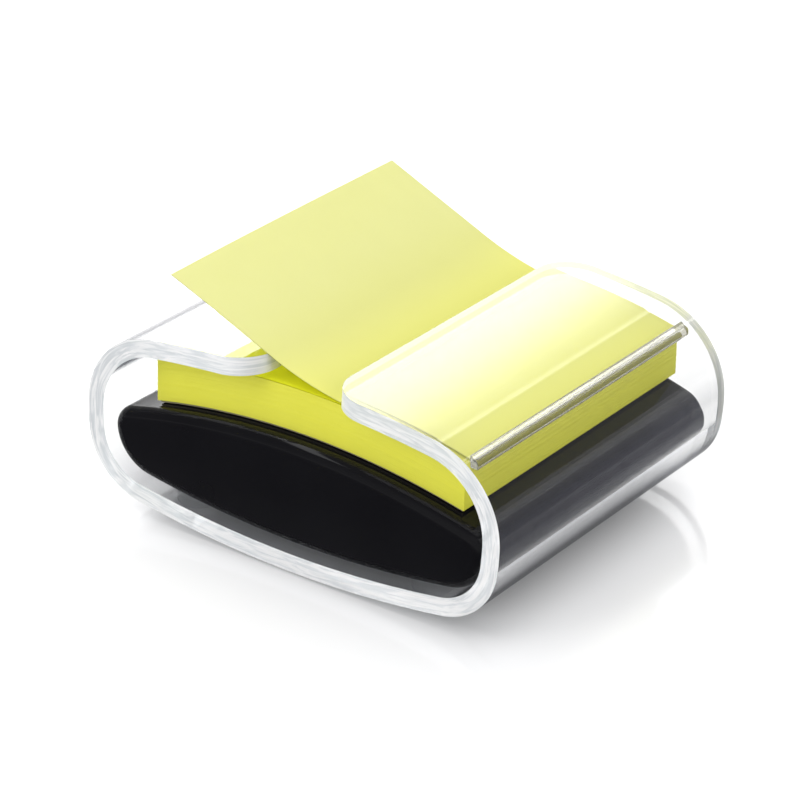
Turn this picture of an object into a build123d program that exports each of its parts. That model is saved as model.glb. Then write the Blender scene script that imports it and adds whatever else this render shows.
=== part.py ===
from build123d import *

import os
from math import asin, atan2, cos, degrees, hypot, sin, sqrt

# A sticky note dispenser: a clear bent wrap, a weighted base that slides into it from the open end,
# an arched pad of pop-up notes on the base, and one note that stands out of the slot in the roof.
# Frame: millimetres, +X to the right across the wrap, +Y to the back, +Z up.
# The origin is on the surface that the feet stand on, under the middle of the wrap.

# Shared clearances
cut_overrun = 2.0
bond_gap = 0.03

# Clear wrap, a band whose section is an oval with four bowed sides, drawn round what it holds
wrap_side_room = 13.0
wrap_end_room = 4.0
wrap_wall = 4.0
wrap_side_bow = 2.5
wrap_floor_bow = 5.0
wrap_roof_bow = 4.9
wrap_lower_corner = 15.0
wrap_upper_corner = 19.0
wrap_edge_round = 0.5

# Slot along the roof, between two lips with rounded corners
slot_width = 18.4
lip_corner_radius = 8.4

# Feet
foot_lift = 0.4
foot_diameter = 9.0
foot_side_inset = 21.0
foot_end_inset = 10.0
foot_edge_round = 0.6

# Base
base_height = 22.8
base_end_inset = 2.0
base_gap = 0.5
base_shoulder = 5.0
base_edge_round = 2.5
base_wall = 2.5
arch_radius = 172.0

# Floor plate, screws and ballast inside the base
plate_side_inset = 21.0
plate_end_inset = 10.0
plate_thickness = 5.0
plate_gap = 0.15
screw_edge_inset = 6.0
screw_shank_diameter = 2.9
screw_shank_length = 8.0
screw_head_diameter = 5.5
screw_head_height = 1.5
screw_recess_length = 3.2
screw_recess_width = 0.8
screw_recess_depth = 0.8
screw_seat_thickness = 1.8
screw_hole_gap = 0.2
screw_bore_gap = 0.05
boss_diameter = 7.0
ballast_margin = 1.0
ballast_boss_gap = 2.0
ballast_roof_gap = 1.8
ballast_chamfer = 1.0
rib_thickness = 2.0
rib_end_inset = 6.5
rib_side_inset = 11.0
rib_gap = 0.2

# Glide strips, let into grooves in the base's underside
strip_side_inset = 14.0
strip_width = 5.0
strip_groove_depth = 0.6
strip_proud = 0.25
strip_side_gap = 0.1
strip_end_inset = 6.0

# Pad of notes
note_size = 76.0
note_thickness = 0.15
sheet_gap = 0.05
card_thickness = 0.5
stack_height = 9.4
pad_seat_gap = 0.25
pad_shift_right = 0.5
lip_gap = 1.25

# Standing note, which lies on the pad under the right lip and leans on the left lip
leaf_lip_gap = 0.15
bend_reach = 4.5
leaf_reach = 2.0
tail_leaf_gap = 0.4

# Pad stop bar
bar_width = 2.2
bar_low_drop = 1.6
bar_pad_gap = 0.4
bar_overhang = 1.0


def bow_radius(half_chord, bow):
    """Radius of an arc from half its chord and its bow."""
    return (half_chord**2 + bow**2) / (2 * bow)


def arc_drop(radius, offset):
    """Fall of an arc below its crown at a distance from the crown."""
    return radius - sqrt(radius**2 - offset**2)


# Places worked out from the sizes above
wrap_width = note_size + 2 * wrap_side_room
wrap_depth = note_size + 2 * wrap_end_room
wrap_half = wrap_width / 2
floor_radius = bow_radius(wrap_half - wrap_side_bow, wrap_floor_bow)
floor_axis = foot_lift + floor_radius

base_inset = wrap_wall + base_gap
base_depth = wrap_depth - 2 * base_end_inset
base_low = foot_lift + base_inset
base_floor_radius = floor_radius - base_inset
arch_axis = base_low + base_height - arch_radius

# The sheets stack up from the base's arch, flush with its back
card_radius = arch_radius + pad_seat_gap
stack_radius = card_radius + card_thickness + sheet_gap
next_radius = stack_radius + stack_height + sheet_gap
tail_radius = next_radius + note_thickness + sheet_gap
pad_top_radius = tail_radius + note_thickness
pad_left = pad_shift_right - note_size / 2
pad_right = pad_shift_right + note_size / 2
pad_back = base_depth / 2

# The lips of the slot clear the pad by the lip gap, which sets how high the roof is
lip_edge = slot_width / 2
roof_radius = bow_radius(wrap_half - wrap_side_bow, wrap_roof_bow)
lip_low = arch_axis + sqrt(pad_top_radius**2 - lip_edge**2) + lip_gap
roof_axis = lip_low - sqrt((roof_radius - wrap_wall) ** 2 - lip_edge**2)
lip_top = roof_axis + sqrt(roof_radius**2 - lip_edge**2)
wrap_top = roof_axis + roof_radius


def arch_point(offset, radius):
    """Point over an offset in X on an arc about the base's arch axis."""
    return (offset, arch_axis + sqrt(radius**2 - offset**2))


# The plate fills the base's floor, and the ballast fills the base up to its roof
plate_width = wrap_width - 2 * plate_side_inset
plate_depth = base_depth - 2 * plate_end_inset
plate_top = base_low + plate_thickness
screw_spacing_x = plate_width - 2 * screw_edge_inset
screw_spacing_y = plate_depth - 2 * screw_edge_inset
screw_seat = plate_top - screw_seat_thickness
ballast_width = plate_width - 2 * ballast_margin
ballast_depth = screw_spacing_y - boss_diameter - 2 * ballast_boss_gap
ballast_top = arch_point(ballast_width / 2, arch_radius - base_wall)[1] - ballast_roof_gap
rib_spacing = ballast_width - 2 * rib_side_inset
rib_length = ballast_depth - 2 * rib_end_inset
strip_offset = wrap_half - strip_side_inset

# The standing note lies on the pad, bends up from its root to rest on the left lip and runs on straight
note_mid_radius = tail_radius + note_thickness / 2
note_root = arch_point(lip_edge + bend_reach, note_mid_radius)
note_rest = (-lip_edge, lip_top + leaf_lip_gap + note_thickness / 2)
end_slope = asin(pad_right / note_mid_radius)
root_slope = asin(note_root[0] / note_mid_radius)
chord_slope = atan2(note_rest[1] - note_root[1], note_root[0] - note_rest[0])
note_chord = hypot(note_rest[0] - note_root[0], note_rest[1] - note_root[1])
bend_turn = 2 * (chord_slope - root_slope)
leaf_slope = root_slope + bend_turn
bend_radius = note_chord / (2 * sin(bend_turn / 2))
bend_centre = (
    note_root[0] + bend_radius * sin(root_slope),
    note_root[1] + bend_radius * cos(root_slope),
)
leaf_start = asin((bend_centre[0] - lip_edge - leaf_reach) / bend_radius)
tail_finish = leaf_start - tail_leaf_gap / bend_radius
flat_run = note_mid_radius * (end_slope - root_slope)
leaf_free_run = note_size - flat_run - bend_radius * bend_turn


def floor_point(offset, radius):
    """Point under an offset in X on an arc about the wrap's floor axis."""
    return (offset, floor_axis - sqrt(radius**2 - offset**2))


def crossing(first, first_radius, second, second_radius):
    """Right-hand crossing of two circles in the section."""
    across, upward = second[0] - first[0], second[1] - first[1]
    distance = hypot(across, upward)
    along = (first_radius**2 - second_radius**2 + distance**2) / (2 * distance)
    aside = sqrt(first_radius**2 - along**2)
    points = []
    for side in (-1, 1):
        x = first[0] + (along * across - side * aside * upward) / distance
        z = first[1] + (along * upward + side * aside * across) / distance
        points.append((x, z))
    return max(points)


def corner_circle(first, second, radius):
    """Circle that rounds the corner between two circles of an outline from inside both."""
    centre = crossing(first[0], first[1] - radius, second[0], second[1] - radius)
    return (centre, radius)


# The corners of the section are as round as its height leaves room for
corner_room = wrap_top - foot_lift - wrap_floor_bow - wrap_side_bow
corner_fit = min(1, corner_room / (wrap_lower_corner + wrap_upper_corner))
lower_corner = wrap_lower_corner * corner_fit
upper_corner = wrap_upper_corner * corner_fit

# Circles round the right half of each outline, from its floor to its top, as centres and radii
side_low = foot_lift + wrap_floor_bow
side_high = wrap_top - wrap_roof_bow
side_radius = bow_radius((side_high - side_low) / 2, wrap_side_bow)
floor_circle = ((0, floor_axis), floor_radius)
side_circle = ((wrap_half - side_radius, (side_low + side_high) / 2), side_radius)
roof_circle = ((0, roof_axis), roof_radius)
arch_circle = ((0, arch_axis), arch_radius)
lower_circle = corner_circle(floor_circle, side_circle, lower_corner)
upper_circle = corner_circle(roof_circle, side_circle, upper_corner)
base_floor_circle = (floor_circle[0], base_floor_radius)
base_lower_circle = (lower_circle[0], lower_corner - base_inset)
base_side_circle = (side_circle[0], side_radius - base_inset)
wrap_outline = (floor_circle, lower_circle, side_circle, upper_circle, roof_circle)


def side_angle(circle):
    """Angle about the side's centre at which a corner circle touches the side."""
    return atan2(circle[0][1] - side_circle[0][1], circle[0][0] - side_circle[0][0])


# The base's shoulder springs from its side, or on a low base straight from its lower corner
base_flank = (base_floor_circle, base_lower_circle, base_side_circle)
shoulder_circle = corner_circle(arch_circle, base_side_circle, base_shoulder)
if side_angle(shoulder_circle) <= side_angle(base_lower_circle):
    base_flank = (base_floor_circle, base_lower_circle)
    shoulder_circle = corner_circle(arch_circle, base_lower_circle, base_shoulder)
base_outline = (*base_flank, shoulder_circle, arch_circle)


def draw_outline(circles, inset, mode=Mode.ADD):
    """Draw an outline of arcs that touch, drawn in by an inset, in the open sketch."""
    (floor_middle, floor_reach), (top_middle, top_reach) = circles[0], circles[-1]
    ends = [(0, floor_middle[1] - floor_reach + inset)]
    for pair in zip(circles, circles[1:]):
        (small_centre, small_radius), (centre, radius) = sorted(pair, key=lambda circle: circle[1])
        reach = (radius - inset) / (radius - small_radius)
        across, upward = small_centre[0] - centre[0], small_centre[1] - centre[1]
        ends.append((centre[0] + across * reach, centre[1] + upward * reach))
    ends.append((0, top_middle[1] + top_reach - inset))
    with BuildLine() as outline:
        for (centre, radius), start, end in zip(circles, ends, ends[1:]):
            across, upward = start[0] + end[0] - 2 * centre[0], start[1] + end[1] - 2 * centre[1]
            reach = (radius - inset) / hypot(across, upward)
            ThreePointArc(start, (centre[0] + across * reach, centre[1] + upward * reach), end)
        mirror(about=Plane.YZ)
    make_face(outline.edges(), mode=mode)


def draw_band(point, left, right, low_radius, high_radius):
    """Draw a band between two arcs, with upright ends, in the open sketch."""
    middle = (left + right) / 2
    with BuildLine() as outline:
        low = ThreePointArc(*(point(offset, low_radius) for offset in (left, middle, right)))
        high = ThreePointArc(*(point(offset, high_radius) for offset in (left, middle, right)))
        Line(low @ 0, high @ 0)
        Line(low @ 1, high @ 1)
    make_face(outline.edges())


os.makedirs("parts", exist_ok=True)

# Clear wrap
with BuildPart() as clear_wrap:
    with BuildSketch(Plane.XZ):
        draw_outline(wrap_outline, 0)
        draw_outline(wrap_outline, wrap_wall, mode=Mode.SUBTRACT)
    extrude(amount=wrap_depth / 2, both=True)
    with BuildSketch(Plane.XY.offset(wrap_top / 2)):
        Rectangle(slot_width + 2 * lip_corner_radius, wrap_depth + 2 * cut_overrun)
        with GridLocations(slot_width + wrap_half, 0, 2, 1):
            RectangleRounded(wrap_half, wrap_depth, lip_corner_radius, mode=Mode.SUBTRACT)
    extrude(amount=wrap_top, mode=Mode.SUBTRACT)
    rim_edges = clear_wrap.edges(Select.NEW) + clear_wrap.faces().filter_by(Axis.Y).edges()
    fillet(rim_edges.filter_by(Axis.Z, reverse=True), wrap_edge_round)
clear_wrap.part.label = "clear_wrap"
export_step(clear_wrap.part, "parts/clear_wrap.step")

# Pad stop bar, bonded to the underside of the right lip
bar_left = pad_right + bar_pad_gap
bar_low = arch_point(pad_right, pad_top_radius)[1] - bar_low_drop
with BuildPart() as pad_stop_bar:
    with BuildSketch(Plane.XZ.offset(-pad_back - bar_overhang)):
        draw_outline(wrap_outline, wrap_wall + bond_gap)
        with Locations((bar_left, bar_low)):
            Rectangle(bar_width, wrap_top, align=(Align.MIN, Align.MIN), mode=Mode.INTERSECT)
    extrude(amount=note_size + 2 * bar_overhang)
pad_stop_bar.part.label = "pad_stop_bar"
export_step(pad_stop_bar.part, "parts/pad_stop_bar.step")

# Feet, cut to the bowed floor of the wrap
foot_x = wrap_half - foot_side_inset
foot_y = wrap_depth / 2 - foot_end_inset
foot_places = {
    "foot_front_left": (-foot_x, -foot_y),
    "foot_front_right": (foot_x, -foot_y),
    "foot_rear_left": (-foot_x, foot_y),
    "foot_rear_right": (foot_x, foot_y),
}
for foot_name, foot_place in foot_places.items():
    with BuildPart() as foot:
        with BuildSketch():
            with Locations(foot_place):
                Circle(foot_diameter / 2)
        extrude(amount=foot_lift + wrap_floor_bow)
        fillet(foot.edges().group_by(Axis.Z)[0], foot_edge_round)
        with BuildSketch(Plane.XZ):
            with Locations((0, floor_axis)):
                Circle(floor_radius + bond_gap)
        extrude(amount=wrap_depth / 2, both=True, mode=Mode.SUBTRACT)
    foot.part.label = foot_name
    export_step(foot.part, f"parts/{foot_name}.step")

# Base shell: hollow, open below for the floor plate, with screw bosses and ribs over the ballast
with BuildPart() as base_shell:
    with BuildSketch(Plane.XZ):
        draw_outline(base_outline, 0)
    extrude(amount=base_depth / 2, both=True)
    fillet(base_shell.faces().filter_by(Axis.Y).edges(), base_edge_round)
    with BuildSketch(Plane.XZ):
        draw_outline(base_outline, base_wall)
    extrude(amount=base_depth / 2 - base_wall, both=True, mode=Mode.SUBTRACT)
    with BuildSketch():
        Rectangle(plate_width + 2 * plate_gap, plate_depth + 2 * plate_gap)
    extrude(amount=plate_top, mode=Mode.SUBTRACT)
    with BuildSketch(Plane.XY.offset(plate_top + bond_gap)):
        with GridLocations(screw_spacing_x, screw_spacing_y, 2, 2):
            Circle(boss_diameter / 2)
    boss_reach = arch_point(screw_spacing_x / 2 + boss_diameter / 2, arch_radius)[1] - base_wall / 2
    extrude(amount=boss_reach - plate_top)
    with BuildSketch(Plane.XY.offset(plate_top)):
        with GridLocations(screw_spacing_x, screw_spacing_y, 2, 2):
            Circle(screw_shank_diameter / 2 + screw_bore_gap)
    extrude(amount=screw_shank_length, mode=Mode.SUBTRACT)
    with BuildSketch(Plane.XY.offset(ballast_top + rib_gap)):
        with Locations((-rib_spacing / 2, 0), (rib_spacing / 2, 0)):
            Rectangle(rib_thickness, rib_length)
    rib_reach = arch_point(rib_spacing / 2 + rib_thickness, arch_radius)[1] - base_wall / 2
    extrude(amount=rib_reach - ballast_top)
    groove_radius = base_floor_radius - strip_groove_depth
    groove_half = strip_width / 2 + strip_side_gap
    groove_reach = base_depth / 2 - strip_end_inset + strip_side_gap
    for middle in (-strip_offset, strip_offset):
        groove_ends = (middle - groove_half, middle + groove_half)
        with BuildSketch(Plane.XZ):
            draw_band(floor_point, *groove_ends, base_floor_radius + cut_overrun, groove_radius)
        extrude(amount=groove_reach, both=True, mode=Mode.SUBTRACT)
base_shell.part.label = "base_shell"
export_step(base_shell.part, "parts/base_shell.step")

# Floor plate: bowed below to match the base, flat on top to carry the ballast
with BuildPart() as base_floor_plate:
    with BuildSketch(Plane.XZ):
        with BuildLine():
            bow = ThreePointArc(
                floor_point(-plate_width / 2, base_floor_radius),
                floor_point(0, base_floor_radius),
                floor_point(plate_width / 2, base_floor_radius),
            )
            Polyline(bow @ 1, (plate_width / 2, plate_top), (-plate_width / 2, plate_top), bow @ 0)
        make_face()
    extrude(amount=plate_depth / 2, both=True)
    with BuildSketch(Plane.XY.offset(screw_seat)):
        with GridLocations(screw_spacing_x, screw_spacing_y, 2, 2):
            Circle(screw_shank_diameter / 2 + screw_hole_gap)
    extrude(amount=plate_thickness, both=True, mode=Mode.SUBTRACT)
    with BuildSketch(Plane.XY.offset(screw_seat)):
        with GridLocations(screw_spacing_x, screw_spacing_y, 2, 2):
            Circle(screw_head_diameter / 2 + screw_hole_gap)
    extrude(amount=-plate_thickness, mode=Mode.SUBTRACT)
base_floor_plate.part.label = "base_floor_plate"
export_step(base_floor_plate.part, "parts/base_floor_plate.step")

# Cover screws, one group of four, driven up from below
with BuildPart() as cover_screws:
    with BuildSketch(Plane.XY.offset(screw_seat)):
        with GridLocations(screw_spacing_x, screw_spacing_y, 2, 2):
            Circle(screw_head_diameter / 2)
    extrude(amount=-screw_head_height)
    with BuildSketch(Plane.XY.offset(screw_seat)):
        with GridLocations(screw_spacing_x, screw_spacing_y, 2, 2):
            Circle(screw_shank_diameter / 2)
    extrude(amount=screw_shank_length)
    with BuildSketch(Plane.XY.offset(screw_seat - screw_head_height)):
        with GridLocations(screw_spacing_x, screw_spacing_y, 2, 2):
            Rectangle(screw_recess_length, screw_recess_width)
            Rectangle(screw_recess_width, screw_recess_length)
    extrude(amount=screw_recess_depth, mode=Mode.SUBTRACT)
cover_screws.part.label = "cover_screws"
export_step(cover_screws.part, "parts/cover_screws.step")

# Ballast block on the floor plate, between the screw bosses
with BuildPart() as ballast_block:
    with BuildSketch(Plane.XY.offset(plate_top + bond_gap)):
        Rectangle(ballast_width, ballast_depth)
    extrude(amount=ballast_top - plate_top - bond_gap)
    chamfer(ballast_block.edges().filter_by(Axis.Z), ballast_chamfer)
ballast_block.part.label = "ballast_block"
export_step(ballast_block.part, "parts/ballast_block.step")

# Glide strips in the grooves under the base
strip_places = {"base_glide_strip_left": -strip_offset, "base_glide_strip_right": strip_offset}
strip_low_radius = base_floor_radius + strip_proud
for strip_name, middle in strip_places.items():
    strip_ends = (middle - strip_width / 2, middle + strip_width / 2)
    with BuildPart() as strip:
        with BuildSketch(Plane.XZ):
            draw_band(floor_point, *strip_ends, strip_low_radius, groove_radius + bond_gap)
        extrude(amount=base_depth / 2 - strip_end_inset, both=True)
    strip.part.label = strip_name
    export_step(strip.part, f"parts/{strip_name}.step")

# Pad: backing card, the stack of notes and the next note, each arched over the base
with BuildPart() as pad_backing_card:
    with BuildSketch(Plane.XZ.offset(-pad_back)):
        draw_band(arch_point, pad_left, pad_right, card_radius, card_radius + card_thickness)
    extrude(amount=note_size)
pad_backing_card.part.label = "pad_backing_card"
export_step(pad_backing_card.part, "parts/pad_backing_card.step")

with BuildPart() as note_stack:
    with BuildSketch(Plane.XZ.offset(-pad_back)):
        draw_band(arch_point, pad_left, pad_right, stack_radius, stack_radius + stack_height)
    extrude(amount=note_size)
note_stack.part.label = "note_stack"
export_step(note_stack.part, "parts/note_stack.step")

with BuildPart() as next_note:
    with BuildSketch(Plane.XZ.offset(-pad_back)):
        draw_band(arch_point, pad_left, pad_right, next_radius, next_radius + note_thickness)
    extrude(amount=note_size)
next_note.part.label = "next_note"
export_step(next_note.part, "parts/next_note.step")

# Standing note: the tail that lies on the pad under the right lip, and the leaf out of the slot
with BuildPart() as popped_note_tail:
    with BuildSketch(Plane.XZ.offset(-pad_back)):
        flat_angles = (90 - degrees(end_slope), degrees(end_slope - root_slope))
        bend_angles = (-90 - degrees(root_slope), degrees(root_slope - tail_finish))
        with BuildLine():
            flat_low = CenterArc((0, arch_axis), tail_radius, *flat_angles)
            flat_high = CenterArc((0, arch_axis), pad_top_radius, *flat_angles)
            bend_low = CenterArc(bend_centre, bend_radius + note_thickness / 2, *bend_angles)
            bend_high = CenterArc(bend_centre, bend_radius - note_thickness / 2, *bend_angles)
            Line(flat_low @ 0, flat_high @ 0)
            Line(bend_low @ 1, bend_high @ 1)
        make_face()
    extrude(amount=note_size)
popped_note_tail.part.label = "popped_note_tail"
export_step(popped_note_tail.part, "parts/popped_note_tail.step")

with BuildPart() as popped_note:
    with BuildSketch(Plane.XZ.offset(-pad_back)):
        bend_angles = (-90 - degrees(leaf_start), degrees(leaf_start - leaf_slope))
        free_run = Vector(-cos(leaf_slope), sin(leaf_slope)) * leaf_free_run
        with BuildLine():
            low = CenterArc(bend_centre, bend_radius + note_thickness / 2, *bend_angles)
            high = CenterArc(bend_centre, bend_radius - note_thickness / 2, *bend_angles)
            Line(low @ 0, high @ 0)
            Polyline(low @ 1, low @ 1 + free_run, high @ 1 + free_run, high @ 1)
        make_face()
    extrude(amount=note_size)
popped_note.part.label = "popped_note"
export_step(popped_note.part, "parts/popped_note.step")
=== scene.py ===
"""Looks of a sticky note dispenser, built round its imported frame.

A clear bent wrap stands on four soft feet. A gloss black base slides into it and carries an arched pad
of yellow notes, and one note stands out of the slot along the roof. Metres, +X right, +Y back, +Z up.
"""

import logging
import math
import random
from dataclasses import dataclass
from enum import Enum
from typing import Callable, Dict, List, Optional, Sequence, Tuple, Union

import bpy
from mathutils import Matrix, Vector


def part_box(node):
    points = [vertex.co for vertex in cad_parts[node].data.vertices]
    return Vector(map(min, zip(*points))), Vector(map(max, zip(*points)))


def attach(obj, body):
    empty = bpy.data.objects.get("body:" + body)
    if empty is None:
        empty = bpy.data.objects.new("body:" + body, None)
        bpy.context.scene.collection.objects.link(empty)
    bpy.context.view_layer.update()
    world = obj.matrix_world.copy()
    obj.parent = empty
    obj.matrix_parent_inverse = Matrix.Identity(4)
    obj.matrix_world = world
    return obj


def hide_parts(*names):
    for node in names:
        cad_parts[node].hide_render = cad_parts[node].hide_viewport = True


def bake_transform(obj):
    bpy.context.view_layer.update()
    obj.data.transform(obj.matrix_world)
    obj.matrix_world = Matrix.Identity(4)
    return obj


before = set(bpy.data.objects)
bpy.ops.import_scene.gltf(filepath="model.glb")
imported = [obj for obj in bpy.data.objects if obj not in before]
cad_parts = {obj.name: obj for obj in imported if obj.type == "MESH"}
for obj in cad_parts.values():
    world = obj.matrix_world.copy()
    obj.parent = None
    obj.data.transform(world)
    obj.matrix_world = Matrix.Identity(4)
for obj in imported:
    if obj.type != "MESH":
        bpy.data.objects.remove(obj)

log = logging.getLogger("note_dispenser")

Colour = Tuple[float, float, float]
Point = Tuple[float, float, float]
Place = Tuple[float, float]
Reach = Tuple[float, float]
Term = Union["Signal", float]

BLACK: Colour = (0.0, 0.0, 0.0)
WHITE: Colour = (1.0, 1.0, 1.0)

# The UV map that a new grid brings
SHEET_MAP = "UVMap"


class Body(Enum):
    """Bodies of the frame that the pieces ride on."""

    WRAP = "wrap"
    PAD = "pad"
    NOTE = "note"


class Ray(Enum):
    """Kinds of light path that a finish can tell apart."""

    CAMERA = "Is Camera Ray"
    SHADOW = "Is Shadow Ray"
    DIFFUSE = "Is Diffuse Ray"
    GLOSSY = "Is Glossy Ray"
    TRANSMISSION = "Is Transmission Ray"


# Shader bench


class Signal:
    """A socket that carries a value, with arithmetic that adds Math nodes."""

    def __init__(self, bench: "NodeBench", socket: bpy.types.NodeSocket) -> None:
        """Keep the bench and the socket."""
        self.bench = bench
        self.socket = socket

    def _math(self, operation: str, first: Term, second: Term) -> "Signal":
        """Add one Math node."""
        return self.bench.signal("ShaderNodeMath", {"operation": operation}, {0: first, 1: second})

    def __add__(self, other: Term) -> "Signal":
        """Sum of two terms."""
        return self._math("ADD", self, other)

    __radd__ = __add__

    def __rsub__(self, other: Term) -> "Signal":
        """A number less this signal."""
        return self._math("SUBTRACT", other, self)

    def __mul__(self, other: Term) -> "Signal":
        """Product of two terms."""
        return self._math("MULTIPLY", self, other)

    __rmul__ = __mul__

    def __neg__(self) -> "Signal":
        """This signal turned round."""
        return self._math("MULTIPLY", self, -1.0)

    def larger(self, other: Term) -> "Signal":
        """The larger of two terms."""
        return self._math("MAXIMUM", self, other)

    def eased(self, low: float, high: float) -> "Signal":
        """Smooth step from 0 at one value to 1 at another."""
        settings = {"interpolation_type": "SMOOTHSTEP"}
        return self.bench.signal("ShaderNodeMapRange", settings, {0: self, 1: low, 2: high})


@dataclass(frozen=True)
class Grain:
    """A noise pattern: blotches in a metre, octaves, weight of the fine ones, and how far they swirl."""

    scale: float
    detail: float = 2.0
    roughness: float = 0.5
    swirl: float = 0.0


class NodeBench:
    """Adds nodes to one node tree."""

    def __init__(self, tree: bpy.types.NodeTree) -> None:
        """Clear the tree and keep it."""
        tree.nodes.clear()
        self.tree = tree

    def add(
        self, kind: str, settings: Optional[dict] = None, inputs: Optional[dict] = None
    ) -> bpy.types.Node:
        """Add a node.

        Args:
            kind: the node's type.
            settings: its properties, set first.
            inputs: values or signals for its sockets, by name or number.

        Returns:
            The new node.
        """
        node = self.tree.nodes.new(kind)
        for name, value in (settings or {}).items():
            setattr(node, name, value)
        for name, value in (inputs or {}).items():
            socket = node.inputs[name]
            if isinstance(value, Signal):
                self.tree.links.new(value.socket, socket)
            elif socket.type == "RGBA":
                socket.default_value = (*value, 1)
            else:
                socket.default_value = value
        return node

    def signal(
        self,
        kind: str,
        settings: Optional[dict] = None,
        inputs: Optional[dict] = None,
        output: Union[int, str] = 0,
    ) -> Signal:
        """Add a node and wrap one of its outputs."""
        return Signal(self, self.add(kind, settings, inputs).outputs[output])

    def coordinates(self, kind: str = "Object") -> Signal:
        """Texture coordinates of the piece."""
        return self.signal("ShaderNodeTexCoord", output=kind)

    def axis(self, vector: Signal, name: str) -> Signal:
        """One coordinate of a vector."""
        return self.signal("ShaderNodeSeparateXYZ", None, {0: vector}, name)

    def stretched(self, where: Signal, scale: Point) -> Signal:
        """Coordinates stretched along the axes."""
        return self.signal("ShaderNodeMapping", None, {"Vector": where, "Scale": scale})

    def noise(self, where: Signal, grain: Grain) -> Signal:
        """Add a noise pattern.

        Args:
            where: coordinates that it follows.
            grain: its scale and fineness.

        Returns:
            Noise between 0 and 1.
        """
        inputs = {
            "Vector": where,
            "Scale": grain.scale,
            "Detail": grain.detail,
            "Roughness": grain.roughness,
            "Distortion": grain.swirl,
        }
        return self.signal("ShaderNodeTexNoise", None, inputs, "Fac")

    def blend(self, share: Term, first: Union[Signal, Colour], second: Union[Signal, Colour]) -> Signal:
        """Colour between two colours."""
        settings = {"data_type": "RGBA"}
        return self.signal("ShaderNodeMix", settings, {0: share, 6: first, 7: second}, 2)

    def bump(self, height: Signal, depth: float, strength: float = 1.0) -> Signal:
        """Normal of a bumped surface."""
        inputs = {"Height": height, "Strength": strength, "Distance": depth}
        return self.signal("ShaderNodeBump", None, inputs)

    def surface(self, inputs: dict) -> Signal:
        """Principled shader with the given inputs."""
        return self.signal("ShaderNodeBsdfPrincipled", None, inputs)

    def mix(self, share: Term, first: Signal, second: Signal) -> Signal:
        """Shader between two shaders."""
        return self.signal("ShaderNodeMixShader", None, {0: share, 1: first, 2: second})

    def ray(self, *kinds: Ray) -> Signal:
        """Tell kinds of light path apart.

        Args:
            kinds: the kinds that are wanted.

        Returns:
            One where the ray is of any of these kinds.
        """
        node = self.add("ShaderNodeLightPath")
        found, *others = [Signal(self, node.outputs[kind.value]) for kind in kinds]
        for other in others:
            found = found.larger(other)
        return found

    def close(
        self, shader: Signal, kind: str = "ShaderNodeOutputMaterial", filling: Optional[Signal] = None
    ) -> None:
        """Send a surface shader, and a volume shader if there is one, to the tree's output."""
        volume = {} if filling is None else {"Volume": filling}
        self.add(kind, None, {"Surface": shader, **volume})


# Finishes


@dataclass(frozen=True)
class Finish:
    """A surface finish: its name, and a method that shades it."""

    name: str

    def shade(self, bench: NodeBench) -> Signal:
        """Build the finish's nodes and return its shader."""
        raise NotImplementedError

    def fill(self, bench: NodeBench) -> Optional[Signal]:
        """Build what fills the piece, if anything does."""
        return None

    def material(self) -> bpy.types.Material:
        """Make the finish's material at first use.

        Returns:
            The material.
        """
        found = bpy.data.materials.get(f"{self.name}_finish")
        if found is None:
            found = bpy.data.materials.new(f"{self.name}_finish")
            found.use_nodes = True
            bench = NodeBench(found.node_tree)
            bench.close(self.shade(bench), filling=self.fill(bench))
        return found

    def paint(self, piece: bpy.types.Object) -> None:
        """Give a piece this finish alone."""
        piece.data.materials.clear()
        piece.data.materials.append(self.material())


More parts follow.
